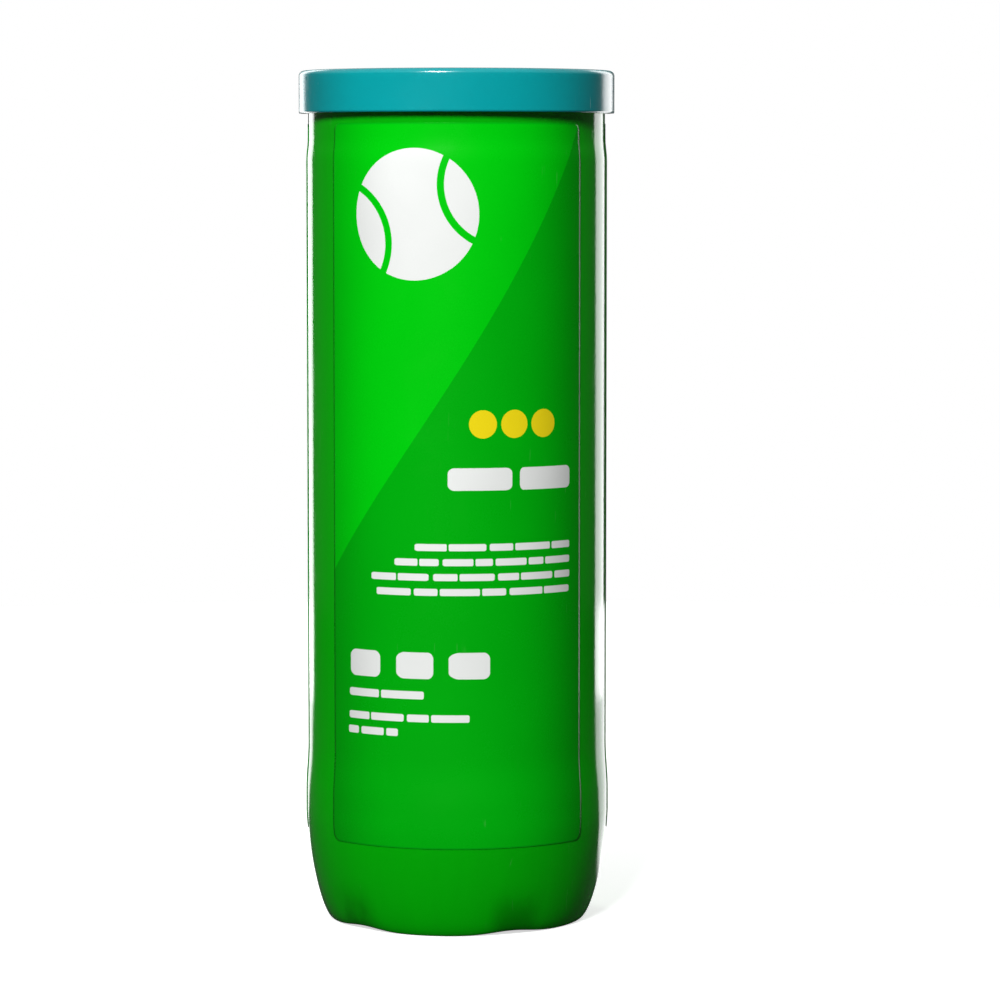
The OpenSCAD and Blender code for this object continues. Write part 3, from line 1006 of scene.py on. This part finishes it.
def make_panel(s, material):
    """Tear-off panel z = plane + panel_height on a polar grid, with its rivet, turned."""
    low = SEAM_TOP - PANEL_DROP
    plane = low + s.sheet / MM
    r = np.concatenate([np.linspace(0.6, 28, 60), np.linspace(28.4, PANEL_HIGH[0], 34)])
    a = np.linspace(0, 2 * np.pi, 200, endpoint=False)
    x, y = r[:, None] * np.cos(a), r[:, None] * np.sin(a)
    h, middle = panel_height(x, y), panel_height(0, 0)
    sides = [np.stack([x, y, z + h], -1).reshape(-1, 3) for z in (plane, low)]
    points = np.vstack([*sides, [[0, 0, plane + middle], [0, 0, low + middle]]])
    n, m = len(r), len(a)
    k, size = np.arange(m), n * m
    edge = (n - 1) * m + k
    after = np.roll(edge, -1)
    faces = grid_faces(n, m, False, True, flip=True) + grid_faces(n, m, False, True, start=size)
    faces += np.stack([edge, edge + size, after + size, after], -1).tolist()
    faces += fan_faces(k, 2 * size) + fan_faces(k + size, 2 * size + 1, flip=True)
    rivet = rounded(
        [[0, plane - 0.1], [1.85, plane - 0.1], [1.85, plane + 0.68], [2.85, plane + 0.68],
         [2.5, plane + 1.12], [1.5, plane + 1.16], [1.1, plane + 0.86], [0, plane + 0.84]],
        [0, 0, 0.1, 0.12, 0.25, 0.25, 0.3, 0], 6)
    head_points, head_faces = turned(rivet, 64, closed=False)
    head_points = head_points - np.array([0.0, RIVET_Y, 0.0])
    points, faces = joined((points, faces), (head_points, head_faces))
    dress(make_object("tear_panel", points, faces), material, "panel", "end_metal", "end_panel")


def rivet_ribs(width, reach, offset, height, radius):
    """Two pressed ribs beside the rivet, each a thin bead round a narrow stadium."""
    line = pill(width, RIVET_Y - reach, RIVET_Y + reach, 12)
    return [bead(line + np.array([way * offset, 0.0]), height, radius, 8) for way in (-1, 1)]


def turn_about_axis(points):
    """The tab is worked out towards +Y and turned half round, so that its nose faces -Y."""
    return points * np.array([-1.0, -1.0, 1.0])


def make_tab(s, material):
    """Curled bead round a stadium, a web with a finger ring and a slot, and stiffening ribs."""
    nose, tail = -TAB_LOW[1], -TAB_HIGH[1]
    width = s.tab_width / MM
    r = (TAB_HIGH[2] - TAB_LOW[2]) / 2
    middle = (TAB_HIGH[2] + TAB_LOW[2]) / 2
    rim = bead(pill(width - 2 * r, tail + r, nose - r, 60), middle, r - 0.004, 18)
    finger_y = nose - s.tab_length / MM + 7.1
    curl = bead(circle(finger_y, 5.25), middle, 0.45, 14)
    inset = 1.2  # the web starts inside the curled rim
    holes = [circle(finger_y, 4.95), soft_square(4.65, RIVET_Y, 4.35, 0.6)]
    outline = pill(width - 2 * inset, tail + inset, nose - inset, 60)
    web = plate(outline, holes, middle - 0.22, middle + 0.22)
    points, faces = joined(rim, curl, web, *rivet_ribs(0.8, 4.0, 5.5, middle + 0.2, 0.22))
    piece = make_object("tab_lever", turn_about_axis(points), faces)
    dress(piece, material, "tab", "tab_metal", "pull_tab")


def make_tongue(material):
    """The clamped tongue: a rounded plate with the rivet hole and two pressed ribs."""
    low, high = TONGUE_LOW[2], TONGUE_HIGH[2]
    body = plate(soft_square(4.45, RIVET_Y, 4.15, 0.7), [circle(RIVET_Y, 1.96)], low, high - 0.12)
    points, faces = joined(body, *rivet_ribs(0.7, 3.2, 3.6, high - 0.2, 0.2))
    piece = make_object("tongue_plate", turn_about_axis(points), faces)
    dress(piece, material, "panel", "tab_metal", "tab_tongue")


def make_lid(s, material):
    """Skirt, rounded shoulder, stacking rim and recessed top with a gate mark, turned."""
    t, r = s.lid_wall / MM, s.lid_radius / MM
    low, top = LID_LOW[2], LID_HIGH[2]
    plug, recess = 34.30, top - 1.5
    under = recess - t
    corners = [[r - 0.05, low], [r, low + 0.5], [r, top], [plug + 0.55, top], [plug, recess],
               [0, recess]]
    outside = densify(rounded(corners, [0, 0.4, 1.3, 0.5, 0.5, 0], 10)[:-1], 1.2)
    inside = (outside + normals_left(outside) * t)[::-1][:-1]
    gate = [[9.0, recess], [8.7, recess - 0.12], [8.3, recess - 0.12], [8.0, recess],
            [2.6, recess], [2.2, recess - 0.25], [1.2, recess - 0.25], [0.9, recess + 0.1],
            [0.0, recess + 0.1]]
    gate_below = [[0.0, under], [2.0, under], [2.4, under - 0.25], [3.0, under - 0.25],
                  [3.4, under]]
    hold = RING_HIGH[0] + 0.05  # the inner bead holds under the double seam
    inner_bead = rounded(
        [[r - t, SEAM_FOOT + 0.2], [hold, SEAM_FOOT - 0.55], [hold, SEAM_FOOT - 1.05],
         [r - t, SEAM_FOOT - 1.8]], [0, 0.3, 0.3, 0], 5)
    above = inside[inside[:, 1] > SEAM_FOOT + 0.3]
    tail = [[r - t, low + 0.7], [r - t + 0.12, low]]
    profile = np.vstack([outside, gate, gate_below, above, inner_bead, tail])
    profile = np.roll(profile, -(len(outside) + len(gate)), axis=0)
    points, faces = turned(profile, 256, closed=False)
    dress(make_object("press_lid", points, faces), material, "lid", "lid_plastic", "lid")


# ---------------------------------------------------------------- balls

# turns about X, Y and Z in degrees of the three balls
BALL_TURNS = ((20, 15, 25), (65, 15, 110), (135, 15, 205))

# turns one felt panel into the place of the other
SWAP = np.array([[0.0, 1.0, 0.0], [1.0, 0.0, 0.0], [0.0, 0.0, -1.0]])


def ball_turn(index):
    """The rotation matrix of one ball: turned about X, then Y, then Z."""
    a, b, c = np.radians(BALL_TURNS[index])
    about_x = np.array([[1, 0, 0], [0, np.cos(a), -np.sin(a)], [0, np.sin(a), np.cos(a)]])
    about_y = np.array([[np.cos(b), 0, np.sin(b)], [0, 1, 0], [-np.sin(b), 0, np.cos(b)]])
    about_z = np.array([[np.cos(c), -np.sin(c), 0], [np.sin(c), np.cos(c), 0], [0, 0, 1]])
    return about_z @ about_y @ about_x


def seated(points, index, b, side=0):
    """Points of a panel, or of a ball round the origin, at their place in the stack."""
    lowest = min(box_mm("ball_lower_felt_" + k)[0][2] for k in "ab")
    r = b.radius / MM
    turn = ball_turn(index) @ (SWAP if side else np.eye(3))
    return points @ turn.T + np.array([0.0, 0.0, lowest + r + index * (2 * r + b.gap / MM)])


def seam_lines(b):
    """Ball radius, offset of the seam's half circles from the axis, and half the seam's width."""
    r = b.radius / MM
    return r, r / math.sqrt(2), b.seam_width / MM / 2


def panel_point(alpha, beta):
    """Unit direction: alpha runs over the waist from lobe to lobe, beta across it."""
    return np.stack([np.sin(alpha) * np.cos(beta), np.sin(beta), np.cos(alpha) * np.cos(beta)], -1)


def panel_reach(alpha, d, a, r):
    """Largest beta of the panel at alpha: the plane |y| = d - a above, |x| = d + a below."""
    waist = math.asin((d - a) / r)
    lobe = np.arccos(np.clip((d + a) / (r * np.clip(np.abs(np.sin(alpha)), 1e-6, 1)), 0, 1))
    return np.where(np.abs(alpha) <= np.pi / 2, waist, np.minimum(lobe, waist))


def panel_depth(direction, d, a, r):
    """Distance in millimetres along the ball from a point of the panel to its edge."""
    x, y, z = np.abs(direction[..., 0]), np.abs(direction[..., 1]), direction[..., 2]
    over = r * (math.asin((d - a) / r) - np.arcsin(np.clip(y, 0, 1)))
    below = r * (np.arcsin(np.clip(x, 0, 1)) - math.asin((d + a) / r))
    return np.clip(np.where(z >= 0, over, below), 0, None)


def felt_relief(direction, seed):
    """Low tufts of the matted wool as a mean of sines of the direction."""
    rng = np.random.default_rng(seed)
    waves = 28
    total = 0.0
    for _ in range(waves):
        wave = rng.normal(size=3) * rng.uniform(14, 60)
        total = total + np.sin(direction @ wave + rng.uniform(0, 6.28)) / waves
    return total


def make_felt(index, side, b, material):
    """One dumbbell panel: outer radius core + wool (1 - (1 - depth / e)^4)^(1/4), closed below."""
    r, d, a = seam_lines(b)
    bottom = b.core_radius / MM + CORE_GAP
    end = math.pi - math.asin((d + a) / r)
    inner_rows = np.linspace(-np.pi / 2, np.pi / 2, 121)
    u = np.linspace(0, 1, 42)[1:]
    outer_rows = np.pi / 2 + (end - np.pi / 2) * np.sin(u * np.pi / 2)
    alpha = np.concatenate([-outer_rows[::-1], inner_rows, outer_rows])
    t = 0.55 * np.sin(np.linspace(-np.pi / 2, np.pi / 2, 81)) + 0.45 * np.linspace(-1, 1, 81)
    direction = panel_point(alpha[:, None], panel_reach(alpha, d, a, r)[:, None] * t)
    edge = 1.7  # width over which the felt rounds off
    share = np.clip(panel_depth(direction, d, a, r) / edge, 0, 1)
    crown = (1 - (1 - share) ** 4) ** 0.25
    crown[:, 0] = crown[:, -1] = 0.0
    crown[0] = crown[-1] = 0.0
    relief = 1 + 0.035 * felt_relief(direction, 10 + 2 * index + side) - 0.02
    outer = direction * (bottom + (r - bottom) * crown * relief)[..., None]
    under = direction[:, ::-1][:, 1:-1] * bottom
    loop = np.concatenate([outer, under], axis=1)[1:-1]
    n, m = loop.shape[:2]
    ends = np.array([direction[0, 0], direction[-1, 0]]) * bottom
    points = np.vstack([loop.reshape(-1, 3), ends])
    faces = grid_faces(n, m, False, True)
    faces += fan_faces(np.arange(m), n * m, flip=True)
    faces += fan_faces(np.arange(m) + (n - 1) * m, n * m + 1)
    name = f"{BALLS[index]}_felt_{'ab'[side]}"
    piece = make_object(name, seated(points, index, b, side), faces)
    dress(piece, material, f"ball_{BALLS[index]}", "felt", f"ball_{name}")


def row_lengths(vectors):
    """The length of each row, as a column."""
    return np.linalg.norm(vectors, axis=1)[:, None]


def make_hairs(index, side, b, material):
    """Loose wool: bent tapering hairs of seven faces each, rooted at random on a panel."""
    rng = np.random.default_rng(100 + 2 * index + side)
    r, d, a = seam_lines(b)
    root = rng.normal(size=(b.hair_count * 4, 3))
    root /= row_lengths(root)
    margin = 0.2  # no hair is rooted this close to the seam
    inside = np.where(root[:, 2] >= 0, np.abs(root[:, 1]) <= (d - a - margin) / r,
                      np.abs(root[:, 0]) >= (d + a + margin) / r)
    root = root[inside][:b.hair_count]
    n = len(root)
    lean = rng.normal(size=(n, 3))
    lean -= np.sum(lean * root, axis=1)[:, None] * root
    lean /= row_lengths(lean)
    twist = np.cross(root, lean)
    size = b.hair_length / MM * rng.uniform(0.5, 1.3, n)[:, None]
    rise = rng.uniform(0.12, 0.42, n)[:, None]
    sink = np.where(panel_depth(root, d, a, r) < 0.9, 0.55, 0.12)[:, None]
    base = root * (r - sink)
    bend = rng.uniform(-0.6, 0.6, n)[:, None]
    middle = base + size * 0.5 * (lean + rise * 1.2 * root + bend * 0.4 * twist)
    tip = base + size * (lean * 0.85 + rise * 0.75 * root + bend * 1.1 * twist)
    furthest = r + 0.75
    for end in (middle, tip):
        away = row_lengths(end)
        end *= np.where(away > furthest, furthest / away, 1.0)
    width = b.hair_width / MM / 2
    rings = []
    for centre, scale in ((base, 1.0), (middle, 0.75)):
        for angle in (2 * math.pi * k / 3 for k in range(3)):
            out = math.cos(angle) * twist + math.sin(angle) * root
            rings.append(centre + width * scale * out)
    points = np.concatenate(rings + [tip], axis=0)
    k = np.arange(n)
    faces = []
    for p, q in ((0, 1), (1, 2), (2, 0)):
        faces += np.stack([k + p * n, k + q * n, k + (3 + q) * n, k + (3 + p) * n], -1).tolist()
        faces += np.stack([k + (3 + p) * n, k + (3 + q) * n, k + 6 * n], -1).tolist()
    faces += np.stack([k + 2 * n, k + n, k], -1).tolist()
    if side:
        faces = [face[::-1] for face in faces]
    name = f"{BALLS[index]}_wool_{'ab'[side]}"
    piece = make_object(name, seated(points, index, b, side), faces, smooth=False)
    dress(piece, material, f"ball_{BALLS[index]}", "felt")


def make_seam(index, b, material):
    """Rubber strip along four half circles: (rho cos t, +-(d + w), rho sin t), w across it."""
    r, d, a = seam_lines(b)
    a -= 0.03  # clear of the felt
    bottom = b.core_radius / MM + CORE_GAP
    w = np.linspace(-a, a, 11)
    t = np.linspace(0, np.pi, 91)[:-1][:, None]

    def arc(way, upper):
        """One half circle; its second half plane is chosen by upper."""
        off = d + (w if upper else -w)
        rho = np.sqrt(r**2 - off**2)
        along, high = rho * np.cos(t), rho * np.sin(t)
        side = np.broadcast_to(way * off, along.shape)
        if upper:
            return np.stack([way * along, side, high], -1)
        return np.stack([side, -way * along, -high], -1)

    centre = np.concatenate([arc(1, True), arc(-1, False), arc(-1, True), arc(1, False)])
    centre = centre / np.linalg.norm(centre, axis=-1)[..., None]
    crown = r - b.seam_drop / MM + 0.12 * (1 - (w / a) ** 2) - 0.12 * (np.abs(w / a) > 0.95)
    under = centre[:, ::-1][:, ::5] * bottom
    loop = np.concatenate([centre * crown[None, :, None], under], axis=1)
    n, m = loop.shape[:2]
    name = BALLS[index] + "_seam"
    points = seated(loop.reshape(-1, 3), index, b)
    piece = make_object(name, points, grid_faces(n, m, True, True))
    dress(piece, material, f"ball_{BALLS[index]}", "seam_rubber", f"ball_{name}")


# ---------------------------------------------------------------- operators


class CAN_OT_stage(bpy.types.Operator):
    """Pale floor and backdrop, soft studio lights and the camera"""

    bl_idname = "can.stage"
    bl_label = "Studio stage"

    def execute(self, context):
        scene = context.scene
        scene.view_settings.view_transform = "Standard"
        self.floor()
        self.surround(scene)
        for lamp in LAMPS:
            self.lamp(scene, *lamp)
        camera = bpy.data.cameras.new("camera")
        camera.sensor_width, camera.lens = SENSOR, SENSOR * ZOOM
        camera.clip_start, camera.clip_end = 0.05, 20.0
        scene.camera = self.aimed(scene, "camera", camera, CAMERA_PLACE, CAMERA_AIM)
        return {"FINISHED"}

    def floor(self):
        """A round sheet of paper under the can, out to 750 mm."""
        sides = 96
        ring = np.linspace(0, 2 * np.pi, sides, endpoint=False)
        reach = np.array([60, 150, 300, 500, 750])[:, None]
        points = np.stack([reach * np.cos(ring), reach * np.sin(ring), 0 * reach * ring], -1)
        points = np.vstack([points.reshape(-1, 3), [[0, 0, 0]]])
        middle = len(points) - 1
        faces = grid_faces(len(reach), sides, False, True, flip=True)
        faces += fan_faces(np.arange(sides), middle)
        floor = make_object("paper_floor", points, faces)
        floor.data.materials.append(paper_material("pale paper", (0.80, 0.80, 0.80), 0.64))

    def surround(self, scene):
        """White paper where it is looked at; else a soft bright ceiling over a dim horizon."""
        world = scene.world or bpy.data.worlds.new("studio")
        scene.world = world
        world.use_nodes = True
        world.node_tree.nodes.clear()
        w = Wiring(world.node_tree)
        seen, glossy = w.ray("Camera"), w.ray("Glossy")
        rise = w.split(w.out(w.node("ShaderNodeTexCoord"), "Generated"))[2]
        wide = w.ramp(rise, 0.06, 0.6, 0.1, 1.0) * glossy
        high = w.ramp(rise, 0.5, 0.85, 0.04, 1.0)
        ceiling = w.most(wide, high) * (glossy * 0.65 + 0.15)
        back = w.node("ShaderNodeBackground", {0: (1, 1, 1, 1), 1: w.most(seen, ceiling)})
        w.node("ShaderNodeOutputWorld", {"Surface": w.out(back)})

    def lamp(self, scene, name, place, height, size, power):
        """A rectangular soft box that points at a height on the axis."""
        data = bpy.data.lights.new(name, "AREA")
        data.shape = "RECTANGLE"
        data.size, data.size_y = size
        data.energy = power
        self.aimed(scene, name, data, place, (0.0, 0.0, height)).visible_camera = False

    def aimed(self, scene, name, data, place, aim):
        """An object with this data that stands at a place and points at another."""
        item = bpy.data.objects.new(name, data)
        scene.collection.objects.link(item)
        item.location = place
        item.rotation_euler = (Vector(aim) - Vector(place)).to_track_quat("-Z", "Y").to_euler()
        return item


class CAN_OT_body(bpy.types.Operator):
    """The blown plastic body with its five feet, grip band, shoulder and neck"""

    bl_idname = "can.body"
    bl_label = "Plastic body"

    def execute(self, context):
        scene = context.scene
        make_body(scene.can_sizes, body_material(scene.can_colours))
        return {"FINISHED"}


class CAN_OT_labels(bpy.types.Operator):
    """The printed front and rear films"""

    bl_idname = "can.labels"
    bl_label = "Label films"

    def execute(self, context):
        s, c = context.scene.can_sizes, context.scene.can_colours
        front, rear = 53.6, 97  # half the angle that each film covers
        ink = front_film_material(c, math.radians(front) * LABEL_RADIUS)
        make_label("front_film", s, front, -90, ink, "front_print", "front_label")
        ink = rear_film_material(c, math.radians(rear) * LABEL_RADIUS)
        make_label("rear_film", s, rear, 90, ink, "rear_print", "rear_label")
        return {"FINISHED"}


class CAN_OT_end(bpy.types.Operator):
    """The seamed metal ring, its sealing compound, the tear-off panel and the pull tab"""

    bl_idname = "can.end"
    bl_label = "Metal end"

    def execute(self, context):
        s, metal = context.scene.can_sizes, context.scene.can_colours.metal
        end = metal_material("lacquered end sheet", metal, True)
        tab = metal_material("bright tab sheet", [c * 0.96 for c in metal], False)
        make_end_ring(s, end)
        make_panel(s, end)
        make_tab(s, tab)
        make_tongue(tab)
        repaint("seam_compound", rubber_material("sealing compound", (0.2, 0.2, 0.21), 0.6))
        return {"FINISHED"}


class CAN_OT_lid(bpy.types.Operator):
    """The press-on lid"""

    bl_idname = "can.lid"
    bl_label = "Press-on lid"

    def execute(self, context):
        scene = context.scene
        make_lid(scene.can_sizes, lid_material(scene.can_colours))
        return {"FINISHED"}


class CAN_OT_balls(bpy.types.Operator):
    """Three tennis balls: felt panels, loose wool, rubber seams and cores"""

    bl_idname = "can.balls"
    bl_label = "Tennis balls"

    def execute(self, context):
        b, c = context.scene.ball_sizes, context.scene.can_colours
        seam = rubber_material("seam rubber", c.seam, 0.7)
        core = rubber_material("core rubber", (0.06, 0.06, 0.05), 0.8)
        top = np.array([0.0, 0.0, b.radius / MM])
        for index, ball in enumerate(BALLS):
            for side, letter in enumerate("ab"):
                dots = [] if side else [(seated(top, index, b), b.dot_radius)]
                felt = felt_material(f"felt {ball} {letter}", c, dots)
                make_felt(index, side, b, felt)
                make_hairs(index, side, b, felt)
                repaint(f"ball_{ball}_core_{letter}", core)
            make_seam(index, b, seam)
        return {"FINISHED"}


OPERATORS = (CAN_OT_stage, CAN_OT_body, CAN_OT_labels, CAN_OT_end, CAN_OT_lid, CAN_OT_balls)


class CAN_PT_panel(bpy.types.Panel):
    """Sidebar panel that lists the can's operators and sizes"""

    bl_idname = "CAN_PT_panel"
    bl_label = "Tennis ball can"
    bl_space_type = "VIEW_3D"
    bl_region_type = "UI"
    bl_category = "Ball can"

    def draw(self, context):
        column = self.layout.column(align=True)
        for operator in OPERATORS:
            column.operator(operator.bl_idname)
        for name, _ in GROUPS:
            group = getattr(context.scene, name)
            box = self.layout.box()
            for key in group.__annotations__:
                box.prop(group, key)


GROUPS = (("can_sizes", CanSizes), ("ball_sizes", BallSizes), ("can_colours", CanColours))


def register():
    """Registers the settings, operators and panel."""
    for name, group in GROUPS:
        bpy.utils.register_class(group)
        setattr(bpy.types.Scene, name, PointerProperty(type=group))
    for item in (*OPERATORS, CAN_PT_panel):
        bpy.utils.register_class(item)


def unregister():
    """Takes them away again."""
    for item in (CAN_PT_panel, *reversed(OPERATORS)):
        bpy.utils.unregister_class(item)
    for name, group in reversed(GROUPS):
        delattr(bpy.types.Scene, name)
        bpy.utils.unregister_class(group)


def main():
    """Builds the stage and every piece."""
    register()
    bpy.ops.can.stage()
    bpy.ops.can.body()
    bpy.ops.can.labels()
    bpy.ops.can.end()
    bpy.ops.can.lid()
    bpy.ops.can.balls()


if __name__ == "__main__":
    main()
